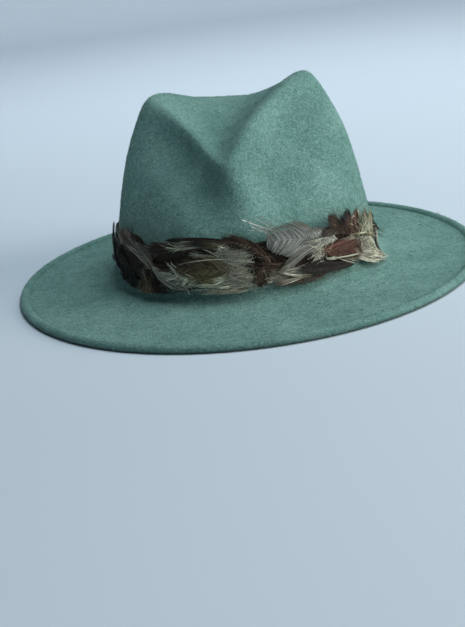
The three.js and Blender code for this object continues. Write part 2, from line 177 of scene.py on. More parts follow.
# Single feathers at the front: plan angle and height of the root, heading and bend in degrees,
# length, width, how far the tip lifts, how far off the felt it lies, and its look. The first 21
# are those of the part's source, and smaller ones fill in between them.
Feather = namedtuple("Feather", "angle height heading bend length width lift layer kind")
FEATHERS = table(Feather, """
-144 5.5 195 -160 59 9 4.5 2.8 slate
-128 22 147 17 38 18 2 4.4 smoke
-129 23 133 6 22 12 2 3.2 russet
-146 19 -78 30 15 11 2 4 slate
-134.5 18 -93 18 13 11 1 4.2 tan
-129 22 -50 70 36 10 2.5 4.8 reed
-112 31 171 17 28 15 2 3.2 umber
-95 33 165 21 29 10 2 3.8 ink
-87 15.5 165 14 46 20 2 4.2 bronze
-79 20 122 50 34 13 1.5 5 russet
-54 24 153 28 43 22.5 2 4.8 mauve
-60 25 191 22 28 7 2 5.4 ash
-60.5 22.5 -14 1 40 15 2 5 rust
-36.5 20 122 0 23 14 2.5 4.8 ember
-28 16 87 40 19 14 2.5 4.8 straw
-44 26 132 6 20 13 2.5 4.2 russet
-12 17 220 0 28 4.5 2 3 slate
-41 6 174 -9 45 10 2.5 4.6 plum
-43 12 -22 0 25 11 3 4.8 pale
-82 19.5 -109 4 13 14 1 5.4 russet
-79 15.5 -19 22 27 11 1.5 4.3 smoke
-151 20 153 -90 20 6 2 3.4 slate
-139 29 89 4 11 9 2 4.6 russet
-140 14 165 0 24 14 2 2.6 umber
-141 15 -95 15 12 13 1 4.4 slate
-130 17 -80 25 14 12 1 4 umber
-129 18 141 14 34 9 2 4.2 smoke
-130 12 172 0 24 12 1.5 2.6 umber
-126 28 165 10 22 12 1.5 3 smoke
-121 12 0 0 14 8 1.5 3.4 umber
-114 20 176 10 24 13 1.5 2.8 umber
-94 36 170 15 40 5 1.5 3.4 umber
-94 28 172 6 23 9 1.5 4 ink
-106 12 178 6 26 11 1.5 2.9 bronze
-84 27 165 10 24 12 1.5 3 pale
-84 12 178 0 26 10 1.5 3.4 pale
-70 18 183 -18 26 7 1 4.6 russet
-62 28 165 0 26 12 1.5 3.4 mauve
-76 38.5 149 4 21 0.5 1 4.6 wisp
-75 40 131 4 13 0.4 1 4.6 wisp
-75.5 39 137 4 15 0.5 1 4.6 wisp
-76.5 38 150 -4 18 0.4 1 4.6 wisp
-76 36 152 -4 15 0.4 1 4.6 wisp
-66 12 180 0 24 12 1.5 3 smoke
-50 13 176 0 24 12 1.5 3.2 plum
-42 26 162 16 24 6 2 4 umber
-33 20 108 -5 18 14 2 4 straw
-80 9.5 176 6 30 5 1 4.8 pale
-93 9 172 8 24 4 1 4.8 cream
-64 8 182 0 22 5 1 4.4 smoke
-86 23 162 34 44 0.6 1 5.2 cream
-49 24.5 158 10 26 13 1.5 4.3 mauve
-120 24 -48 34 16 0.8 1 5.2 cream
-119 22 -52 40 14 0.7 1 5.2 cream
-118 20 -50 40 12 0.7 1 5.2 cream
-118.5 24.5 -42 26 17 0.6 1 5.2 cream
7 8 177 0 24 10 0.2 2.7 umber
-2 9 174 0 24 10 0.2 2.6 smoke
-112 21 190 -10 20 2 1 4.8 tan
-54 28 174 6 20 3 1 5.6 ash
-46 31 178 4 16 6 1.5 4.4 umber
-38.5 21 128 0 20 12 2 4.4 russet
-33 18 112 8 20 13 2 4.6 rust
-25 13 84 20 18 14 2 4.4 straw
-21 12 100 20 16 14 1.5 4.2 straw
-42 24 -8 -16 22 3 1 5.6 straw
-56 15.5 -14 8 26 1.4 1 5.6 cream
-16 14 222 0 22 1.2 1 4.4 tan
-34 19 -30 -40 20 12 2 4.2 pale
-30 14 -50 -20 16 12 2 4.4 pale
-24 12 -100 -10 12 12 2 4 straw
""")

# The pieces at the front, each from one plan angle to another
FRONT_PIECES = (
    ("feathers_left", -200, -107),
    ("feathers_middle", -107, -66),
    ("feathers_right", -66, 0),
)

# Rows of like feathers round the sides and the back, each at a share of the height of the
# backing's top, and the kinds that they run through
Row = namedtuple("Row", "first last count rise heading length width lift layer kinds")
FEATHER_ROWS = {
    "feathers_upper_row": Row(
        26, 196, 12, 0.66, 172, 26, 11, 1.5, 3.2, "umber mauve bronze smoke russet ink"),
    "feathers_lower_row": Row(
        20, 204, 13, 0.42, 184, 26, 11, 1.5, 3.0, "umber bronze plum rust smoke reed"),
    "feathers_under_row": Row(16, 200, 17, 0.56, 178, 24, 13, 1, 2.6, "umber smoke russet"),
}
ROW_SWING, ROW_SWING_STEP = 6, 2.4

# Patches of loose down: middle, half size along and up the band, heading, spread, barb length
Fluff = namedtuple("Fluff", "angle height along up heading spread length count layer kind")
FLUFF_PATCHES = table(Fluff, """
-113 15 4 2 -30 16 8 50 5.4 cream
-76 38 2 1.5 155 4 16 6 4.4 wisp
-95 27 5 4 20 18 9 170 5.2 pale
-93 25 6 3 12 20 10 130 5.2 pale
-93 15 5 4 10 20 9 150 5.4 pale
-91 9.5 9 1 5 12 11 50 5 cream
-57 21 4 7 182 12 6 120 5.4 pale
-33 13 9 7 -30 40 8 220 5.8 pale
-29 4 5 2 -25 20 8 70 6.5 pale
-30 24 9 5 95 25 8 190 6 straw
-41 27 5 4 120 20 10 140 5.6 russet
-30 20 8 4 30 50 7 130 6.2 cream
-112 33.5 3 1 176 10 10 20 5.4 cream
-45 29 3 3 125 22 12 60 4.6 russet
-141 33 4 3 100 22 9 60 4.6 russet
-148 31 5 4 140 16 12 70 4.6 smoke
-147 13 6 6 -80 18 8 260 5.2 slate
-140 10 4 5 -90 16 8 240 5 slate
-131 10 6 6 -80 16 10 260 4.9 tan
-126 7 8 3 -40 20 9 200 4.6 umber
-136 7 14 2.5 -145 16 8 130 4.2 umber
-112 9 18 2 185 12 10 130 4.4 umber
-91 7 12 2.5 185 12 11 200 4.8 pale
-60 6 16 2 190 12 11 150 4.6 russet
-108 34 12 2 172 12 9 90 4.4 umber
""")

# How the crown's surface is found on a ray, rings of points on the felt, and the slow swell in it
RAY_START, RAY_STEP, RAY_STEPS, RAY_HALVINGS = 20, 2.5, 70, 16
FILLET_RINGS, BRIM_RINGS, WELT_RINGS, FADE_RINGS = 10, 28, 34, 6
WAVER_SIZE = 23
NAP_FACETS, NAP_RINGS, NAP_WELT_RINGS = 180, 60, 26
BACKING_FACETS, BACKING_RINGS = 240, 10

# Stations along a barb and a shaft, how barbs cling and lie, and the web, quill and down
MARKS = ("along", "across", "tone", "down", "quill")
BARB_STATIONS, SPINE_STATIONS = 5, 66
BARB_SHARES = np.linspace(0, 1, BARB_STATIONS)[None, :]
LOCK_LENGTH, STRAY_SHARE, CAMBER = 1.5, 0.14, 0.4
WEBBED_WIDTH, WEB_DEPTH = 4, 0.45
QUILL_RISE, QUILL_RIDGE = 0.08, 0.12
DOWN_COUNT, DOWN_BREADTH = 36, 0.22
FLUFF_CURL, FLUFF_BREADTH = 15, 0.28
NAP_SEED, FRONT_SEED, ROW_SEED = 7, 20, 30

# The brim's outer edge is darkened with painted shade below its crest: up to this height, where it
# slopes more than this, by this share
PAINTED_SHADE_HEIGHT, PAINTED_SHADE_SLOPE, PAINTED_EDGE_SHADE = 4.2, 0.6, 0.75

# The studio: name, place, target, size and colour of each light, the floor's bend, and the camera
LIGHTS = (
    ("key", (1.52, -0.42, 0.62), (0, 0, 0.05), 1.1, (1, 0.99, 0.94)),
    ("top", (0.5, 0, 1.8), (0, 0, 0.05), 1.0, (0.8, 0.94, 1)),
    ("back", (0, 1, 1.7), (0, 2.9, 0.3), 1.6, (0.86, 0.95, 1)),
)
FLOOR_BEND, FLOOR_FACETS = 500, 96
CAMERA_YAW, CAMERA_PAN, CAMERA_TILT = (math.radians(degrees) for degrees in (2, -1.06, -2.42))
CAMERA_LENS, CAMERA_SENSOR, CAMERA_AIM = 66.24, 36, 0.0025


def colour_property(name, about, colour):
    return bpy.props.FloatVectorProperty(
        name=name, description=about, default=colour, subtype="COLOR", size=3, min=0, max=1)


def length_property(name, about, metres):
    return bpy.props.FloatProperty(
        name=name, description=about, default=metres, min=0, unit="LENGTH", precision=5)


def power_property(name, about, watts):
    return bpy.props.FloatProperty(name=name, description=about, default=watts, min=0, unit="POWER")


def angle_property(name, about, degrees):
    return bpy.props.FloatProperty(
        name=name, description=about, default=math.radians(degrees), subtype="ANGLE")


class FeltSettings(bpy.types.PropertyGroup):
    """Sizes and colours of the felt."""

    facets: bpy.props.IntProperty(
        name="Facets around", description="Faces round the crown", default=288, min=72)
    rings: bpy.props.IntProperty(
        name="Crown rings", description="Rings of faces up the crown", default=96, min=24)
    waver: length_property("Waver", "How far the blocked felt wavers in and out", 0.00035)
    fibres: bpy.props.IntProperty(
        name="Fibres", description="Loose fibres that stand on the felt", default=44000, min=0)
    fibre_length: length_property("Fibre length", "Length of a loose fibre", 0.0026)
    fibre_breadth: length_property("Fibre breadth", "Breadth of a loose fibre", 0.00013)
    colour: colour_property("Colour", "The dyed felt", (0.152, 0.297, 0.258))
    shade: colour_property("Shade", "The felt between its fibres", (0.075, 0.17, 0.152))
    bloom: colour_property("Bloom", "The tips of its fibres", (0.29, 0.455, 0.42))


class PlumageSettings(bpy.types.PropertyGroup):
    """Sizes and colours of the feathers."""

    barb_gap: length_property("Barb gap", "Distance between two barbs along a shaft", 0.0004)
    barb_breadth: length_property("Barb breadth", "Breadth of a barb at the shaft", 0.00042)
    quill_breadth: length_property("Quill breadth", "Breadth of a shaft at its root", 0.00055)
    down_length: length_property("Down length", "Length of a downy barb", 0.0065)
    slate: colour_property("Slate", "Near-black feathers", (0.012, 0.013, 0.012))
    umber: colour_property("Umber", "Dark brown feathers", (0.05, 0.031, 0.02))
    rust: colour_property("Rust", "Red-brown feathers", (0.13, 0.056, 0.036))
    olive: colour_property("Olive", "Yellow-green parts", (0.13, 0.11, 0.052))
    cream: colour_property("Cream", "Pale edges and down", (0.58, 0.58, 0.44))
    smoke: colour_property("Smoke", "Grey-brown feathers", (0.165, 0.152, 0.122))
    mauve: colour_property("Mauve", "Light grey feathers", (0.245, 0.25, 0.23))
    plum: colour_property("Plum", "Dark purple-brown feathers", (0.055, 0.043, 0.04))
    tan: colour_property("Tan", "Light brown parts", (0.2, 0.155, 0.095))


class StudioSettings(bpy.types.PropertyGroup):
    """The floor, the lights and the camera."""

    floor_radius: length_property("Floor radius", "Flat part of the floor", 2.4)
    wall_height: length_property("Wall height", "Height of the floor's raised rim", 1.3)
    floor_colour: colour_property("Floor colour", "Pale floor", (0.65, 0.712, 0.785))
    sky_colour: colour_property("Sky colour", "Light from all round", (0.78, 0.87, 1.0))
    sky_strength: bpy.props.FloatProperty(
        name="Sky strength", description="Strength of the all-round light", default=0.03, min=0)
    key_power: power_property("Key power", "Power of the light at the right", 21)
    top_power: power_property("Top power", "Power of the light overhead", 20.5)
    back_power: power_property("Back power", "Power of the light on the floor behind", 25)
    camera_distance: length_property("Camera distance", "From the hat to the camera", 0.8)
    camera_elevation: angle_property("Camera elevation", "Angle above the floor", 15.74)
    camera_roll: angle_property("Camera roll", "Turn about the line of sight", 6.75)


# Shape of the felt


def unit(vectors):
    return vectors / np.linalg.norm(vectors, axis=-1, keepdims=True)


def angles_round(count):
    return np.linspace(0, 2 * math.pi, count, endpoint=False)


def smooth(rows, column, at):
    """A table's column where its first column is at, on a smooth curve through the rows."""
    keys, values = rows[:, 0], rows[:, column]
    slopes = np.gradient(values, keys)
    at = np.clip(at, keys[0], keys[-1])
    i = np.clip(np.searchsorted(keys, at, side="right") - 1, 0, len(keys) - 2)
    span = keys[i + 1] - keys[i]
    t = (at - keys[i]) / span
    a, b = values[i], values[i + 1]
    start, end = slopes[i] * span, slopes[i + 1] * span
    square, cube = 3 * (b - a) - 2 * start - end, 2 * (a - b) + start + end
    return a + t * start + t**2 * square + t**3 * cube


def soft_max(a, b, size):
    near = np.maximum(size - np.abs(a - b), 0) / size
    return np.maximum(a, b) + near**3 * size / 6


def half_length(height, y):
    back = 0.5 + 0.5 * np.tanh(y / TAPER_BLEND)
    taper = FRONT_TAPER * (1 - back) + BACK_TAPER * back
    return CROWN_HALF_LENGTH * (1 - taper * (height / 100) ** 2)


def outside_walls(point):
    """Millimetres outside the crown's side walls, with the pinch at the front taken out of them."""
    y, z = point[..., 1], point[..., 2]
    x = point[..., 0] - smooth(SIDE_PROFILE, 2, z)
    reach = np.hypot(x / smooth(SIDE_PROFILE, 1, z), y / half_length(z, y))
    outside = np.hypot(x, y) * (1 - 1 / np.maximum(reach, 1e-6))
    place = np.stack([x, y, z], -1)
    for pinch in PINCHES:
        face = (place - pinch.face_at) @ unit(np.array(pinch.face_out))
        outside = soft_max(outside, face, pinch.face_blend)
        away = place - pinch.crease_at
        run = away @ unit(np.array(pinch.along))
        aside = (away**2).sum(-1) - run**2
        outside = outside + pinch.depth * np.exp(-aside / pinch.width**2 - (run / pinch.half) ** 4)
        away = (place - pinch.hollow_at) ** 2 @ np.array((1, 1, HOLLOW_STRETCH))
        outside = outside + pinch.hollow_depth * np.exp(-away / pinch.radius**2)
    return outside


def above_top(point):
    """Millimetres above the crown's dented top."""
    x, y, z = point[..., 0], point[..., 1], point[..., 2]
    aside = x - smooth(CENTRE_DENT, 2, y)
    right = 0.5 + 0.5 * np.tanh(aside / DENT_SLOPE_BLEND)
    slope = smooth(CENTRE_DENT, 3, y) * (1 - right) + smooth(CENTRE_DENT, 4, y) * right
    rise = np.hypot(aside, DENT_BOTTOM_RADIUS) - DENT_BOTTOM_RADIUS
    return z - smooth(CENTRE_DENT, 1, y) - slope * rise


def outside_crown(point):
    ridge = smooth(CENTRE_DENT, 5, point[..., 1])
    return soft_max(outside_walls(point), DENT_STEEPNESS * above_top(point), ridge)


def crown_points(angle, elevation):
    """The crown's surface on rays that leave the centre of its foot."""
    plan = unit(np.stack([CROWN_HALF_WIDTH * np.cos(angle), CROWN_HALF_LENGTH * np.sin(angle)], -1))
    ray = np.concatenate([plan * np.cos(elevation)[..., None], np.sin(elevation)[..., None]], -1)
    far = np.full(angle.shape, float(RAY_START))
    for _ in range(RAY_STEPS):
        far = np.where(outside_crown(ray * far[..., None]) <= 0, far + RAY_STEP, far)
    near = far - RAY_STEP
    for _ in range(RAY_HALVINGS):
        middle = (near + far) / 2
        outside = outside_crown(ray * middle[..., None]) > 0
        near, far = np.where(outside, near, middle), np.where(outside, middle, far)
    return ray * near[..., None] + (0, 0, FOOT_HEIGHT)


def beside_oval(angle, height, out):
    """Points beside the oval that the crown's wall stands on at a height."""
    half = smooth(SIDE_PROFILE, 1, height)
    length = half_length(height, 0)
    away = unit(np.stack(np.broadcast_arrays(np.cos(angle) / half, np.sin(angle) / length), -1))
    x = half * np.cos(angle) + away[..., 0] * out
    y = length * np.sin(angle) + away[..., 1] * out
    return np.stack(np.broadcast_arrays(x, y, FOOT_HEIGHT + height), -1)


def ring_beside(angle, out, up):
    """A ring beside the crown's wall where the fillet starts, set to a height above the floor."""
    ring = beside_oval(angle, FOOT_FILLET, out)
    ring[..., 2] = up
    return ring


def brim_top(out):
    share = np.maximum(1 - out / BRIM_WIDTH, 0)
    return BRIM_EDGE_TOP + (FOOT_HEIGHT - BRIM_EDGE_TOP) * share**BRIM_DROP_POWER


def height_at(line, angle):
    """Height of a line round the crown at plan angles in radians."""
    return smooth(line, 1, (np.degrees(angle) + 180) % 360 - 180)


def above_foot(angle, height):
    """Heights kept above the band's lower line, softly."""
    foot = height_at(BAND_FOOT, angle)
    return foot + FOOT_SOFTNESS * np.logaddexp(0, (height - foot) / FOOT_SOFTNESS)


def band_points(angle, height, out):
    """Points at the band: plan angle, height, and distance out from the felt."""
    drop = np.maximum(FOOT_FILLET - height, 0)
    fillet = FOOT_FILLET - np.sqrt(np.maximum(FOOT_FILLET**2 - drop**2, 0))
    return beside_oval(angle, height, out + fillet)


def over_backing(angle, height, out):
    """Points at the band, held above its lower line and off its backing."""
    return band_points(angle, above_foot(angle, height), np.maximum(out, BACKING_FACE + 0.1))


def band_pace(angle):
    """Millimetres along the band for one radian of plan angle."""
    return np.hypot(CROWN_HALF_WIDTH * np.sin(angle), CROWN_HALF_LENGTH * np.cos(angle))


def waver(point):
    """A slow random swell from -1 to 1, as in felt that no machine has made true."""
    x, y, z = np.moveaxis(point / WAVER_SIZE, -1, 0)
    swell = np.sin(x * 1.3 + 2.1 * np.sin(y * 0.7 + z))
    swell = swell + np.sin(y * 1.7 + 1.6 * np.sin(z * 1.1 + x))
    return (swell + np.sin(z * 1.9 + 1.9 * np.sin(x * 0.9 - y))) / 3


def grid_normals(rings):
    """Unit normals of rings of points that close round."""
    around = np.roll(rings, -1, 1) - np.roll(rings, 1, 1)
    down = np.gradient(rings, axis=0)
    normals = np.cross(down, around)
    return normals / np.maximum(np.linalg.norm(normals, axis=-1, keepdims=True), 1e-9)


def felt_rings(facets, rings, swell):
    """Rings of the felt's upper face from the top's middle to the welt, and of its underside."""
    angle = angles_round(facets)
    wall = beside_oval(angle, FOOT_FILLET, 0)
    lowest = np.arctan2(FOOT_FILLET, np.hypot(wall[:, 0], wall[:, 1]))
    share = np.arange(rings - 0.35, 0, -1)[:, None] / rings
    elevation = lowest + (math.pi / 2 - lowest) * share
    crown = crown_points(np.broadcast_to(angle, elevation.shape), elevation)
    turn = np.linspace(0, math.pi / 2, FILLET_RINGS)
    foot_out, foot_up = FOOT_FILLET * (1 - np.cos(turn)), FOOT_FILLET * (1 - np.sin(turn))
    fillet = [ring_beside(angle, out, brim_top(out) + up) for out, up in zip(foot_out, foot_up)]
    outs = np.linspace(FOOT_FILLET, BRIM_WIDTH - WELT_WIDTH, BRIM_RINGS)[1:]
    brim = [ring_beside(angle, out, brim_top(out)) for out in outs]
    upper = np.concatenate([crown, np.array(fillet + brim)])
    normals = grid_normals(upper)
    fade = np.ones(len(upper))
    fade[-FADE_RINGS:] = np.linspace(1, 0, FADE_RINGS)
    upper = upper + normals * (waver(upper) * swell * fade[:, None])[..., None]
    under = (upper - normals * FELT_THICKNESS)[::2]
    return angle, upper, under[::-1]


def welt_rings(angle):
    """Rings of the welted edge, on a smooth curve through its section."""
    steps = np.linalg.norm(np.diff(WELT_SECTION, axis=0), axis=1)
    run = np.concatenate([[0], np.cumsum(steps)])
    curve = np.column_stack([run, WELT_SECTION])
    at = np.linspace(0, run[-2], WELT_RINGS)
    points = [(smooth(curve, 1, a), max(smooth(curve, 2, a), 0)) for a in at] + [WELT_SECTION[-1]]
    start = BRIM_WIDTH - WELT_WIDTH
    return np.array([ring_beside(angle, start + out, up) for out, up in points[1:]])


# Meshes


def loft_faces(rings, around, close_rings=False):
    """Quads between rings of points that close round."""
    k = np.arange(rings if close_rings else rings - 1)[:, None]
    i = np.arange(around)[None, :]
    this, below, beside = k * around, (k + 1) % rings * around, (i + 1) % around
    return np.stack([this + i, below + i, below + beside, this + beside], -1).reshape(-1, 4)


def new_mesh(name, points, faces, marks=None):
    """A smooth-shaded mesh of points in millimetres, with a float attribute for each mark."""
    mesh = bpy.data.meshes.new(name)
    mesh.from_pydata((np.asarray(points) * MM).tolist(), [], [tuple(face) for face in faces])
    mesh.shade_smooth()
    for mark, values in (marks or {}).items():
        layer = mesh.attributes.new(mark, "FLOAT", "POINT")
        layer.data.foreach_set("value", np.asarray(values, np.float32))
    return mesh


def new_object(name, data):
    made = bpy.data.objects.new(name, data)
    bpy.context.scene.collection.objects.link(made)
    return made


def new_piece(name, mesh, node, materials):
    """An object that rides on the hat and stands for one of its solids."""
    for material in materials:
        mesh.materials.append(material)
    piece = new_object(name, mesh)
    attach(piece, "root")
    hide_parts(node)


class Strips:
    """Thin ribbons gathered for one mesh, each with its own cell of the UV map."""

    def __init__(self):
        self.points, self.faces, self.cells, self.kinds = [], [], [], []
        self.marks = {mark: [] for mark in MARKS}
        self.point_count = self.strip_count = 0

    def add(self, left, right, kind, **marks):
        """Adds ribbons between left and right edges, both of the shape (ribbons, stations, 3)."""
        count, stations = left.shape[:2]
        self.points.append(np.stack([left, right], 2).reshape(-1, 3))
        for mark in MARKS:
            value = np.broadcast_to(marks.get(mark, 0.0), (count, stations))
            self.marks[mark].append(np.repeat(value.reshape(-1), 2))
        strip = np.arange(count)[:, None]
        station = np.arange(stations - 1)[None, :]
        first = self.point_count + (strip * stations + station) * 2
        self.faces.append(np.stack([first, first + 1, first + 3, first + 2], -1).reshape(-1, 4))
        share = np.arange(stations)[None, :, None] / (stations - 1)
        cell = np.broadcast_arrays(self.strip_count + strip[..., None], share, (0.0, 1.0))
        self.cells.append(np.stack(cell, -1).reshape(-1, 3))
        self.kinds.append(np.full(len(self.faces[-1]), kind))
        self.point_count += count * stations * 2
        self.strip_count += count

    def add_round(self, place, x, y, out, breadth, twist, kind, **marks):
        """Adds ribbons whose middle lines are given, turned about those lines by twist."""
        along_x, along_y = np.gradient(x, axis=1), np.gradient(y, axis=1)
        length = np.maximum(np.hypot(along_x, along_y), 1e-6)
        flat, rise = breadth / 2 * np.cos(twist), breadth / 2 * np.sin(twist)
        aside_x, aside_y = -along_y / length * flat, along_x / length * flat
        left, right = (
            place(x + side * aside_x, y + side * aside_y, out + side * rise) for side in (-1, 1))
        self.add(left, right, kind, **marks)

    def mesh(self, name, kinds):
        """The gathered ribbons as a mesh whose faces take the material of their kind."""
        marks = {mark: np.concatenate(values) for mark, values in self.marks.items()}
        faces = np.concatenate(self.faces)
        mesh = new_mesh(name, np.concatenate(self.points), faces, marks)
        of_face = np.searchsorted(kinds, np.concatenate(self.kinds))
        mesh.polygons.foreach_set("material_index", of_face.astype(np.int32))
        cell = np.concatenate(self.cells)[faces.ravel()]
        columns = max(int(math.sqrt(self.strip_count * 3)), 1)
        rows = -(-self.strip_count // columns)
        u = (cell[:, 0] % columns + 0.15 + 0.7 * cell[:, 2]) / columns
        v = (cell[:, 0] // columns + 0.1 + 0.8 * cell[:, 1]) / rows
        layer = mesh.uv_layers.new(name="OFBake")
        layer.data.foreach_set("uv", np.column_stack([u, v]).astype(np.float32).reshape(-1))
        return mesh


# Feathers


class Spine:
    """The line of a feather's shaft over the band, and the way from it to points in space."""

    def __init__(self, feather):
        self.length = feather.length
        self.share = np.linspace(-0.3, 1.15, SPINE_STATIONS)
        self.heading = np.radians(feather.heading + feather.bend * self.share)
        step = (self.share[1] - self.share[0]) * feather.length
        root = math.radians(feather.angle)
        self.angle = np.full(SPINE_STATIONS, root)
        for _ in range(3):
            self.angle = self.from_root(root, np.cos(self.heading) * step / band_pace(self.angle))
        self.height = self.from_root(feather.height, np.sin(self.heading) * step)

    def from_root(self, start, steps):
        total = np.concatenate([[0], np.cumsum(steps[:-1])])
        return start + total - np.interp(0, self.share, total)

    def place(self, along, aside, out):
        """Points at millimetres along the shaft, to the side of it and out from the felt."""
        lines = (self.angle, self.heading, self.height)
        angle, heading, height = (
            np.interp(along / self.length, self.share, line) for line in lines)
        angle = angle - np.sin(heading) * aside / band_pace(angle)
        return over_backing(angle, height + np.cos(heading) * aside, out)


def shaft_out(feather, share):
    """How far off the felt a feather's shaft lies at shares of its length."""
    return feather.layer + feather.lift * share**1.5


def outline(share, blunt):
    """Half width of a feather along its length as a share of its full half width."""
    inside = np.clip(share, 0, 1)
    return np.sin(math.pi * inside**0.8) ** blunt


def clumped(values, rng, clumps):
    """The mean of each value's clump, for values that lie in order, and the clump's random tone."""
    most = len(values) - 1
    cuts = rng.choice(np.arange(1, most + 1), min(clumps, most), replace=False)
    parts = np.split(values, np.sort(cuts))
    sizes = [len(part) for part in parts]
    tones = [rng.normal() for part in parts]
    return np.repeat([part.mean() for part in parts], sizes), np.repeat(tones, sizes)


def add_barbs(strips, feather, spine, look, side, rng, plumage):
    """The barbs on one side of a feather's shaft, drawn together into locks."""
    count = max(int(feather.length * MM / plumage.barb_gap), 16)
    # Where each barb starts and how far forward its tip reaches, as shares of the shaft
    root = 0.02 + 0.96 * (np.arange(count) + rng.uniform(-0.4, 0.4, count)) / count
    lock, lock_tone = clumped(root, rng, max(int(feather.length / LOCK_LENGTH), 4))
    reach = root + (1 - root) * look.sweep * rng.uniform(0.92, 1.08)
    lock_reach = lock + (1 - lock) * look.sweep
    reach = np.clip(reach + (lock_reach - reach) * (0.1 + 0.7 * look.loose), 0, 1)
    # How far aside it reaches: locks of like length, ragged tips and a few strays
    ragged = 1 + (0.03 + 0.05 * look.loose) * rng.normal(size=count)
    ragged += look.loose * (0.14 * lock_tone - 0.25 * np.abs(rng.normal(size=count)))
    ragged += rng.uniform(0, 0.6, count) * look.loose * (rng.random(count) < STRAY_SHARE)
    end = feather.width / 2 * (1 + side * look.skew) * outline(reach, look.blunt) * ragged
    # Its line in millimetres, along the shaft, aside from it and out from the felt
    q = BARB_SHARES
    wiggle = look.loose * 0.4 * rng.normal(size=(count, 1)) * np.sin(math.pi * q)
    over = 0.06 * look.loose * np.abs(rng.normal(size=(count, 1))) * q**2
    x = (root[:, None] + (reach - root)[:, None] * q**1.25 + over) * feather.length + wiggle
    y = side * end[:, None] * q**0.9
    share = x / feather.length
    lift = 0.3 * np.abs(lock_tone)[:, None] * q**2 * (0.1 + look.loose)
    lift = lift + 0.1 * rng.normal(size=(count, 1)) * q
    camber = CAMBER * (y / feather.width * 2) ** 2
    out = shaft_out(feather, np.clip(share, 0, 1.1)) - camber + lift
    breadth = plumage.barb_breadth / MM * (1.1 - 0.85 * q) * rng.uniform(0.8, 1.2, (count, 1))
    twist = side * 0.2 + 0.3 * rng.normal(size=(count, 1)) * (0.5 + look.loose)
    tone = (0.9 - 0.3 * look.loose) * rng.normal(size=count) + (0.2 + 0.65 * look.loose) * lock_tone
    tone = tone[:, None] * (0.65 + 0.55 * look.loose)
    across = np.clip(0.5 + y / feather.width / (1 + side * look.skew), 0, 1)
    strips.add_round(
        spine.place, x, y, out, breadth, twist, feather.kind, along=share, across=across, tone=tone)


def add_web(strips, feather, spine, look):
    """A thin web below the barbs, so that nothing shows through between them, darkened as painted
    shade between the barbs.
    """
    share = np.linspace(0.06, 0.97, 14)
    lanes = np.linspace(-0.55, 0.55, 7)
    half = feather.width / 2 * outline(share, look.blunt)
    x, out = share * feather.length, shaft_out(feather, share) - WEB_DEPTH
    edges = []
    for lane in lanes:
        aside = lane * half * (1 + np.sign(lane) * look.skew)
        edges.append(spine.place(x, aside, out - CAMBER * lane**2))
    edges = np.array(edges)
    across = (0.5 + (lanes[:-1] + lanes[1:]) / 4)[:, None]
    # The web's low tone is painted shade, standing in for the shade between the barbs
    strips.add(edges[:-1], edges[1:], feather.kind, along=share[None, :], across=across, tone=-1.3)


def add_quill(strips, feather, spine, plumage):
    """The shaft, a low ridge of two lanes that thins out towards the tip."""
    share = np.linspace(-0.02, 0.85, 12)
    inside = np.clip(share, 0, 1)
    half = plumage.quill_breadth / MM / 2 * (1 - 0.85 * inside)
    x, out = share * feather.length, shaft_out(feather, inside) + QUILL_RISE
    edges = np.array([
        spine.place(x, side * half, out + QUILL_RIDGE * (side == 0)) for side in (-1, 0, 1)])
    strips.add(edges[:-1], edges[1:], feather.kind,
               along=share[None, :], across=0.5, quill=1.0, tone=0.2)


def add_down(strips, feather, spine, look, rng, plumage):
    """Downy barbs at the root, loose and curled."""
    count = int(DOWN_COUNT * look.down)
    if not count:
        return
    q = BARB_SHARES
    start = rng.uniform(-0.04, 0.22, (count, 1)) * feather.length
    side = rng.choice((-1, 1), (count, 1))
    length = plumage.down_length / MM * rng.uniform(0.5, 1.25, (count, 1))
    lean = rng.uniform(0.3, 1.3, (count, 1)) + rng.normal(size=(count, 1)) * 0.9 * q
    x = start + length * q * np.cos(lean)
    y = side * np.minimum(length * q * np.sin(lean), feather.width * 0.62)
    out = feather.layer + 0.1 + rng.uniform(0, 1.3, (count, 1)) * q**1.5
    breadth = DOWN_BREADTH * (1.1 - 0.75 * q)
    twist, tone = 0.5 * rng.normal(size=(count, 1)), rng.normal(size=(count, 1)) * 0.8
    strips.add_round(spine.place, x, y, out, breadth, twist, feather.kind,
                     along=x / feather.length, across=0.5, down=1.0, tone=tone)


def add_feather(strips, feather, rng, plumage):
    look = LOOKS[feather.kind]
    spine = Spine(feather)
    if feather.width > WEBBED_WIDTH:
        add_web(strips, feather, spine, look)
    for side in (-1, 1):
        add_barbs(strips, feather, spine, look, side, rng, plumage)
    add_quill(strips, feather, spine, plumage)
    add_down(strips, feather, spine, look, rng, plumage)


def add_fluff(strips, fluff, rng):
    """A patch of loose down: curled barbs that start all over it."""
    angle = math.radians(fluff.angle)
    pace = band_pace(angle)
    shape = (int(fluff.count), 1)
    q = BARB_SHARES
    heading = np.radians(fluff.heading + fluff.spread * rng.normal(size=shape))
    heading = heading + np.radians(FLUFF_CURL) * rng.normal(size=shape) * q
    step = fluff.length * rng.uniform(0.45, 1.1, shape) / (BARB_STATIONS - 1)
    x = rng.normal(size=shape) * fluff.along / 2 + np.cumsum(np.cos(heading) * step, 1) - step
    y = rng.normal(size=shape) * fluff.up / 2 + np.cumsum(np.sin(heading) * step, 1)
    out = fluff.layer + rng.uniform(-0.8, 0.5, shape) + rng.uniform(0, 1.6, shape) * q**1.6

    def place(along, up, away):
        return over_backing(angle + along / pace, fluff.height + up, away)

    breadth = FLUFF_BREADTH * (1.1 - 0.75 * q) * rng.uniform(0.6, 1.2, shape)
    twist, tone = 0.5 * rng.normal(size=shape), rng.normal(size=shape) * 0.7
    strips.add_round(
        place, x, y, out, breadth, twist, fluff.kind, along=0.3 + 0.7 * q, across=0.4, tone=tone)


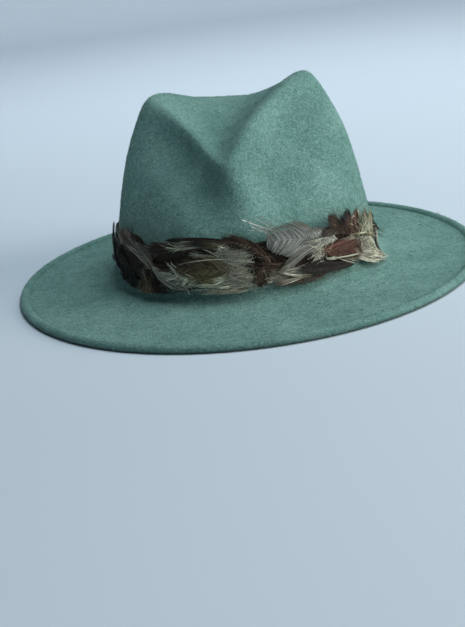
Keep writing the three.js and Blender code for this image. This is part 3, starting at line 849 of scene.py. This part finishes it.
def row_feathers(row):
    """The feathers of a row, each a little turned and bent by its number."""
    feathers, kinds = [], row.kinds.split()
    for i in range(row.count):
        angle = row.first + (row.last - row.first) * i / (row.count - 1)
        heading = row.heading + ROW_SWING * math.sin(ROW_SWING_STEP * (i + row.rise))
        bend = -ROW_SWING * math.cos(ROW_SWING_STEP * i)
        height = row.rise * float(height_at(BACKING_TOP, math.radians(angle)))
        shape = (row.length, row.width, row.lift, row.layer)
        feathers.append(Feather(angle, height, heading, bend, *shape, kinds[i % len(kinds)]))
    return feathers


def plume_piece(name, feathers, fluffs, seed, plumage):
    """One piece of the band: feathers and patches of down in one mesh."""
    rng = np.random.default_rng(seed)
    strips = Strips()
    for feather in sorted(feathers, key=lambda one: one.layer):
        add_feather(strips, feather, rng, plumage)
    for fluff in fluffs:
        add_fluff(strips, fluff, rng)
    kinds = sorted({part.kind for part in [*feathers, *fluffs]})
    materials = [feather_material(kind, plumage) for kind in kinds]
    new_piece(name, strips.mesh(name, kinds), "feather_band", materials)


# Materials


def adds_math(operation, reflected=False):
    """A method that adds a Math node to a wire and gives back the node's output."""

    def method(wire, *others):
        values = (*others, wire) if reflected else (wire, *others)
        return wire.paint.node("ShaderNodeMath", {"operation": operation}, dict(enumerate(values)))

    return method


class Wire:
    """A node's output, on which Python's operators add Math nodes."""

    def __init__(self, paint, socket):
        self.paint, self.socket = paint, socket

    __add__ = __radd__ = adds_math("ADD")
    __sub__, __rsub__ = adds_math("SUBTRACT"), adds_math("SUBTRACT", reflected=True)
    __mul__ = __rmul__ = adds_math("MULTIPLY")
    __truediv__, __pow__ = adds_math("DIVIDE"), adds_math("POWER")
    sine, larger, smaller = adds_math("SINE"), adds_math("MAXIMUM"), adds_math("MINIMUM")

    def within(self):
        """The value held between 0 and 1."""
        return self.larger(0.0).smaller(1.0)


class Paint:
    """A material that is built node by node."""

    def __init__(self, name):
        self.material = bpy.data.materials.new(name)
        self.material.use_nodes = True
        self.tree = self.material.node_tree
        self.tree.nodes.clear()

    def node(self, kind, settings=None, sockets=None, output=0):
        """Adds a node, sets its settings, then its sockets, and gives back one of its outputs."""
        made = self.tree.nodes.new(kind)
        for key, value in (settings or {}).items():
            if key == "stops":
                self.set_stops(made.color_ramp.elements, value)
            else:
                setattr(made, key, value)
        for key, value in (sockets or {}).items():
            self.feed(made.inputs[key], value)
        return Wire(self, made.outputs[output]) if made.outputs else made

    def set_stops(self, elements, stops):
        while len(elements) < len(stops):
            elements.new(1.0)
        for element, (place, colour) in zip(elements, stops):
            element.position = place
            element.color = (*colour, 1)

    def feed(self, socket, value):
        if isinstance(value, Wire):
            self.tree.links.new(value.socket, socket)
        elif socket.type == "RGBA":
            socket.default_value = (*value, 1)
        else:
            socket.default_value = value

    def blend(self, share, first, second):
        return self.node("ShaderNodeMix", {"data_type": "RGBA"}, {0: share, 6: first, 7: second}, 2)

    def ramp(self, stops, at):
        return self.node("ShaderNodeValToRGB", {"stops": stops}, {0: at})

    def scaled(self, colour, by):
        return self.node("ShaderNodeVectorMath", {"operation": "SCALE"}, {0: colour, 3: by})

    def millimetres(self):
        """The place on the object in millimetres."""
        return self.scaled(self.node("ShaderNodeTexCoord", output=3), 1 / MM)

    def normal(self):
        return self.node("ShaderNodeNewGeometry", output=1)

    def part(self, vector, axis):
        """One of a vector's three numbers."""
        return self.node("ShaderNodeSeparateXYZ", None, {0: vector}, axis)

    def noise(self, place, scale, detail=2.0, distortion=0.0):
        sockets = {"Vector": place, "Scale": scale, "Detail": detail, "Distortion": distortion}
        return self.node("ShaderNodeTexNoise", None, sockets)

    def mark(self, name):
        return self.node("ShaderNodeAttribute", {"attribute_name": name}, None, 2)

    def bump(self, height, depth):
        """A normal for relief of a depth in metres."""
        sockets = {"Height": height, "Distance": depth, "Strength": 1.0}
        return self.node("ShaderNodeBump", None, sockets)

    def finish(self, sockets):
        """Feeds the main shader and returns the material."""
        shader = self.node("ShaderNodeBsdfPrincipled", None, sockets)
        self.node("ShaderNodeOutputMaterial", None, {"Surface": shader})
        return self.material


def felt_material(felt):
    """Dyed wool felt: clouded, with short curly fibres that catch the light, and painted shade on
    the low outer face of the welted edge.
    """
    paint = Paint("wool_felt")
    place = paint.millimetres()
    clouds = paint.noise(place, 0.03, 3.0, 0.4)
    curls = paint.noise(place, 0.36, 2.0, 1.8)
    strokes = paint.noise(place, 0.6, 2.0, 3.0)
    fuzz = paint.noise(place, 2.6, 2.0, 1.5)
    depth = 0.5 + (clouds - 0.5) * 0.6 + (curls - 0.5) * 0.9
    depth = depth + (strokes - 0.5) * 1.3 + (fuzz - 0.5) * 0.5
    colour = paint.ramp(((0.12, felt.shade), (0.5, felt.colour), (0.9, felt.bloom)), depth)
    # Painted shade: the low, steep outer face of the welt is darkened
    low = (1.0 - paint.part(place, 2) / PAINTED_SHADE_HEIGHT).within()
    steep = (PAINTED_SHADE_SLOPE - paint.part(paint.normal(), 2)).within()
    relief = curls * 0.9 + strokes * 0.7 + fuzz * 0.35
    return paint.finish({
        "Base Color": paint.scaled(colour, 1.0 - low * steep * PAINTED_EDGE_SHADE),
        "Roughness": 0.9 + (curls - 0.5) * 0.2,
        "Normal": paint.bump(relief, 0.00055),
        "Specular IOR Level": 0.15,
        "Sheen Weight": 0.1,
        "Sheen Roughness": 0.5,
        "Sheen Tint": (0.72, 0.9, 0.84),
    })


def fibre_material(felt):
    """Loose fibres of the felt, some lighter and some darker than it."""
    paint = Paint("wool_fibre")
    stops = ((0.0, felt.shade), (0.5, felt.colour), (1.0, felt.bloom))
    return paint.finish({
        "Base Color": paint.ramp(stops, paint.mark("tone") * 0.5 + 0.5),
        "Roughness": 0.85,
        "Specular IOR Level": 0.2,
        "Sheen Weight": 0.2,
    })


def feather_material(kind, plumage):
    """The finish of one kind of feather: colours along and across it, bars, down and quill."""
    made = bpy.data.materials.get("feather_" + kind)
    if made:
        return made
    look = LOOKS[kind]
    paint = Paint("feather_" + kind)
    along, across, tone, down, quill = (paint.mark(name) for name in MARKS)
    place = paint.millimetres()
    cloud = paint.noise(place, 0.3, 2.0, 0.6)
    fine = paint.noise(place, 2.2, 1.0)

    def ramp(text, at):
        stops = []
        for stop in text.split(", "):
            spot, name, strength = stop.split()
            shade = [min(part * float(strength), 1) for part in getattr(plumage, name)]
            stops.append((float(spot), shade))
        return paint.ramp(stops, at)

    colour = ramp(look.along, along + (cloud - 0.5) * 0.25 + tone * 0.07)
    if look.share:
        colour = paint.blend(look.share, colour, ramp(look.across, across + (cloud - 0.5) * 0.1))
    if look.bars:
        wave = (along * (look.bars * 2 * math.pi) + across * 6.0 + cloud * 5.0).sine() * 0.5 + 0.5
        colour = paint.blend(wave**2.0 * look.bar_share, colour, getattr(plumage, look.bar))
    colour = paint.blend(down * 0.85, colour, getattr(plumage, look.down_colour))
    if look.quill_share:
        colour = paint.blend(quill * look.quill_share, colour, plumage.cream)
    light = (1.0 + tone * 0.3 + (fine - 0.5) * 0.35).larger(0.25) ** 2.0
    return paint.finish({
        "Base Color": paint.scaled(colour, light),
        "Roughness": 0.6 + cloud * 0.2,
        "Specular IOR Level": 0.25,
        "Sheen Weight": 0.15,
        "Sheen Roughness": 0.4,
    })


def backing_material(plumage):
    """The woven strip that the feathers are sewn to."""
    paint = Paint("backing_weave")
    weave = paint.noise(paint.millimetres(), 1.6, 1.0)
    return paint.finish({
        "Base Color": paint.blend(weave, plumage.slate, plumage.umber),
        "Roughness": 0.9,
        "Normal": paint.bump(weave, 0.0002),
        "Specular IOR Level": 0.2,
    })


def floor_material(studio):
    """A plain pale floor with the faintest cloud in it."""
    paint = Paint("pale_floor")
    cloud = paint.noise(paint.millimetres(), 0.004, 2.0)
    pale = studio.floor_colour
    colour = paint.blend(cloud, [part * 0.985 for part in pale], pale)
    return paint.finish({"Base Color": colour, "Roughness": 0.9, "Specular IOR Level": 0.1})


# Operators


class FEDORA_OT_make_felt(bpy.types.Operator):
    """Makes the felt body: crown, brim and welted edge in one wall of felt"""

    bl_idname = "fedora.make_felt"
    bl_label = "Make Felt"

    def execute(self, context):
        felt = context.scene.fedora_felt
        angle, upper, under = felt_rings(felt.facets, felt.rings, felt.waver / MM)
        rings = np.concatenate([upper, welt_rings(angle), under])
        points = rings.reshape(-1, 3)
        peak, bottom = upper[0].mean(0), under[-1].mean(0)
        faces = loft_faces(len(rings), felt.facets).tolist()
        last = (len(rings) - 1) * felt.facets
        for i in range(felt.facets):
            after = (i + 1) % felt.facets
            faces.append((len(points), i, after))
            faces.append((len(points) + 1, last + after, last + i))
        mesh = new_mesh("felt_hat", np.vstack([points, peak, bottom]), faces)
        new_piece("felt_hat", mesh, "felt_body", [felt_material(felt)])
        return {"FINISHED"}


class FEDORA_OT_make_nap(bpy.types.Operator):
    """Makes the loose fibres that stand on the felt"""

    bl_idname = "fedora.make_nap"
    bl_label = "Make Nap"

    def execute(self, context):
        felt = context.scene.fedora_felt
        rng = np.random.default_rng(NAP_SEED)
        shape = (felt.fibres, 1, 1)
        angle, upper, _ = felt_rings(NAP_FACETS, NAP_RINGS, felt.waver / MM)
        rings = np.concatenate([upper, welt_rings(angle)[:NAP_WELT_RINGS]])
        normals = grid_normals(rings)
        around = np.roll(rings, -1, 1) - rings
        down = np.diff(rings, axis=0, append=rings[-1:])
        size = np.linalg.norm(np.cross(around, down), axis=-1)
        pick = rng.choice(size.size, felt.fibres, p=(size / size.sum()).ravel())
        k, i = np.unravel_index(pick, size.shape)
        place = rings[k, i][:, None] + around[k, i][:, None] * rng.random(shape)
        place = place + down[k, i][:, None] * rng.random(shape)
        normal = normals[k, i][:, None]
        side = unit(np.cross(normal, rng.normal(size=(felt.fibres, 1, 3))))
        ahead = np.cross(side, normal)
        q = np.linspace(0, 1, 3)[None, :, None]
        length = felt.fibre_length / MM * rng.uniform(0.5, 1.2, shape)
        curl = rng.normal(size=shape) * 0.35
        path = place + length * (ahead * q + side * curl * q**2)
        stand = rng.uniform(0.04, 0.22, shape)
        path = path + normal * (length * stand * np.sin(q * 2.2) + 0.02)
        half = felt.fibre_breadth / MM / 2 * (1.1 - 0.8 * q)
        lift = normal * half * rng.normal(size=shape) * 0.6
        left, right = path - side * half - lift, path + side * half + lift
        for edge in (left, right):
            edge[..., 2] = np.maximum(edge[..., 2], 0)
        strips = Strips()
        strips.add(left, right, "fibre", tone=rng.uniform(-1, 1, shape[:2]))
        mesh = strips.mesh("felt_nap", ["fibre"])
        new_piece("felt_nap", mesh, "felt_body", [fibre_material(felt)])
        return {"FINISHED"}


class FEDORA_OT_make_backing(bpy.types.Operator):
    """Makes the strip that the feathers are sewn to"""

    bl_idname = "fedora.make_backing"
    bl_label = "Make Backing"

    def execute(self, context):
        plumage = context.scene.fedora_plumage
        angle = angles_round(BACKING_FACETS)
        rise = np.linspace(0, 1, BACKING_RINGS)[:, None]
        heights = BACKING_BOTTOM + (height_at(BACKING_TOP, angle) - BACKING_BOTTOM) * rise
        inner = [band_points(angle, height, BACKING_CLEARANCE) for height in heights]
        outer = [band_points(angle, height, BACKING_FACE) for height in heights[::-1]]
        rings = np.array(inner + outer)
        faces = loft_faces(len(rings), BACKING_FACETS, True)
        mesh = new_mesh("band_backing", rings.reshape(-1, 3), faces)
        new_piece("band_backing", mesh, "feather_band", [backing_material(plumage)])
        return {"FINISHED"}


class FEDORA_OT_make_front_feathers(bpy.types.Operator):
    """Makes the feathers and the down at the front of the band, left, middle and right"""

    bl_idname = "fedora.make_front_feathers"
    bl_label = "Make Front Feathers"

    def execute(self, context):
        plumage = context.scene.fedora_plumage
        for number, (name, low, high) in enumerate(FRONT_PIECES):
            feathers, fluffs = (
                [one for one in rows if low <= one.angle < high]
                for rows in (FEATHERS, FLUFF_PATCHES))
            plume_piece(name, feathers, fluffs, FRONT_SEED + number, plumage)
        return {"FINISHED"}


class FEDORA_OT_make_row_feathers(bpy.types.Operator):
    """Makes the rows of feathers round the sides and the back"""

    bl_idname = "fedora.make_row_feathers"
    bl_label = "Make Row Feathers"

    def execute(self, context):
        plumage = context.scene.fedora_plumage
        for number, (name, row) in enumerate(FEATHER_ROWS.items()):
            plume_piece(name, row_feathers(row), [], ROW_SEED + number, plumage)
        return {"FINISHED"}


class FEDORA_OT_set_stage(bpy.types.Operator):
    """Sets the pale floor, the soft lights and the camera"""

    bl_idname = "fedora.set_stage"
    bl_label = "Set Stage"

    def execute(self, context):
        studio = context.scene.fedora_studio
        make_floor(studio)
        for name, place, target, size, colour in LIGHTS:
            power = getattr(studio, name + "_power")
            add_light(name + "_light", place, target, size, power, colour)
        set_sky(studio)
        set_camera(studio)
        context.scene.view_settings.view_transform = "Standard"
        return {"FINISHED"}


def make_floor(studio):
    """A round floor that curves up into a low wall, the same from every side."""
    radius, height = studio.floor_radius / MM, studio.wall_height / MM
    turn = np.linspace(0, math.pi / 2, 12)[1:]
    profile = [(r, 0.0) for r in np.linspace(1, radius, 8)]
    profile += [(radius + FLOOR_BEND * math.sin(t), FLOOR_BEND * (1 - math.cos(t))) for t in turn]
    profile.append((radius + FLOOR_BEND, height))
    angle = angles_round(FLOOR_FACETS)
    points = [(r * math.cos(a), r * math.sin(a), z) for r, z in profile for a in angle]
    faces = loft_faces(len(profile), FLOOR_FACETS)[:, ::-1].tolist()
    mesh = new_mesh("pale_floor", points, faces + [tuple(range(FLOOR_FACETS))])
    mesh.materials.append(floor_material(studio))
    new_object("pale_floor", mesh)


def add_light(name, place, target, size, power, colour):
    """A square soft light that faces a target."""
    light = bpy.data.lights.new(name, "AREA")
    light.size, light.energy, light.color = size, power, colour
    lamp = new_object(name, light)
    lamp.location = place
    lamp.rotation_mode = "QUATERNION"
    lamp.rotation_quaternion = (Vector(target) - Vector(place)).to_track_quat("-Z", "Y")


def set_sky(studio):
    sky = bpy.data.worlds.new("soft_sky")
    sky.use_nodes = True
    background = sky.node_tree.nodes["Background"]
    background.inputs["Color"].default_value = (*studio.sky_colour, 1)
    background.inputs["Strength"].default_value = studio.sky_strength
    bpy.context.scene.world = sky


def set_camera(studio):
    """A camera at the front, above the hat, aimed so that the hat sits high in the frame."""
    yaw, rise, roll = CAMERA_YAW, studio.camera_elevation, studio.camera_roll
    pan, tilt = math.tan(CAMERA_PAN), math.tan(CAMERA_TILT)
    back = Vector((math.sin(yaw) * math.cos(rise), -math.cos(yaw) * math.cos(rise), math.sin(rise)))
    right = Vector((math.cos(yaw), math.sin(yaw), 0))
    ahead = (-back + pan * right + tilt * back.cross(right)).normalized()
    level = ahead.cross(back.cross(right)).normalized()
    upright = level.cross(ahead)
    side = math.cos(roll) * level - math.sin(roll) * upright
    top = math.sin(roll) * level + math.cos(roll) * upright
    lens = bpy.data.cameras.new("front_camera")
    lens.sensor_width, lens.lens = CAMERA_SENSOR, CAMERA_LENS
    camera = new_object("front_camera", lens)
    camera.matrix_world = Matrix((side, top, -ahead)).transposed().to_4x4()
    camera.location = back * studio.camera_distance + Vector((0, 0, CAMERA_AIM))
    bpy.context.scene.camera = camera


class FEDORA_PT_tools(bpy.types.Panel):
    """Lists the steps that build the hat"""

    bl_label = "Felt Fedora"
    bl_idname = "FEDORA_PT_tools"
    bl_space_type = "VIEW_3D"
    bl_region_type = "UI"
    bl_category = "Fedora"

    def draw(self, context):
        for step in STEPS:
            self.layout.operator(step.bl_idname)
        for owner in SETTINGS:
            box, settings = self.layout.box(), getattr(context.scene, owner)
            for name in settings.__annotations__:
                box.prop(settings, name)


SETTINGS = {
    "fedora_felt": FeltSettings,
    "fedora_plumage": PlumageSettings,
    "fedora_studio": StudioSettings,
}
STEPS = (
    FEDORA_OT_set_stage,
    FEDORA_OT_make_felt,
    FEDORA_OT_make_nap,
    FEDORA_OT_make_backing,
    FEDORA_OT_make_front_feathers,
    FEDORA_OT_make_row_feathers,
)


def register():
    for cls in (*SETTINGS.values(), *STEPS, FEDORA_PT_tools):
        bpy.utils.register_class(cls)
    for name, cls in SETTINGS.items():
        setattr(bpy.types.Scene, name, bpy.props.PointerProperty(type=cls))


def unregister():
    for name in SETTINGS:
        delattr(bpy.types.Scene, name)
    for cls in reversed((*SETTINGS.values(), *STEPS, FEDORA_PT_tools)):
        bpy.utils.unregister_class(cls)


def main():
    register()
    bpy.ops.fedora.set_stage()
    bpy.ops.fedora.make_felt()
    bpy.ops.fedora.make_nap()
    bpy.ops.fedora.make_backing()
    bpy.ops.fedora.make_front_feathers()
    bpy.ops.fedora.make_row_feathers()


if __name__ == "__main__":
    main()
